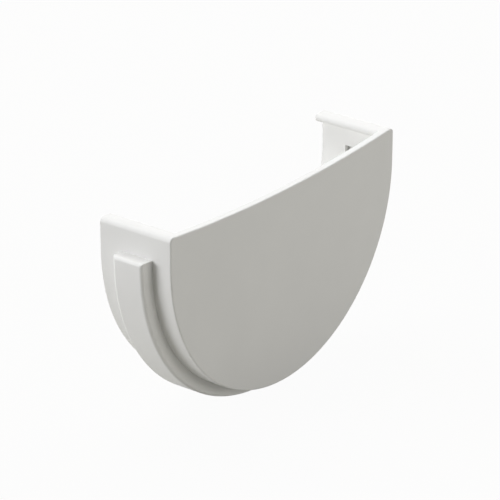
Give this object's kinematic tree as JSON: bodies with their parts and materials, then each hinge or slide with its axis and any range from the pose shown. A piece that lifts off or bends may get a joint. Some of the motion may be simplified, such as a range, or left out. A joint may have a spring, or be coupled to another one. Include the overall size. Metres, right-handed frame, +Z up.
{
  "type": "gutter end cap",
  "caption": "End cap for a half-round gutter: a flat end plate in a half-round collar with turned-in lips along its rims and a raised band round it that holds a ribbed rubber seal.",
  "frame": {"origin": "on the axis of the half-round, at the inner face of the end plate, where the gutter's end stops", "axes": "+X across the gutter to its right seen from outside the cap, +Y along the gutter away from the end plate and into the gutter, +Z up"},
  "size_m": [0.1376, 0.0306, 0.081],
  "materials": {
    "cap": "satin white moulding",
    "seal": "matt light grey"
  },
  "bodies": {
    "root": {"cap_body": "cap", "seal_strip": "seal"}
  },
  "joints": []
}
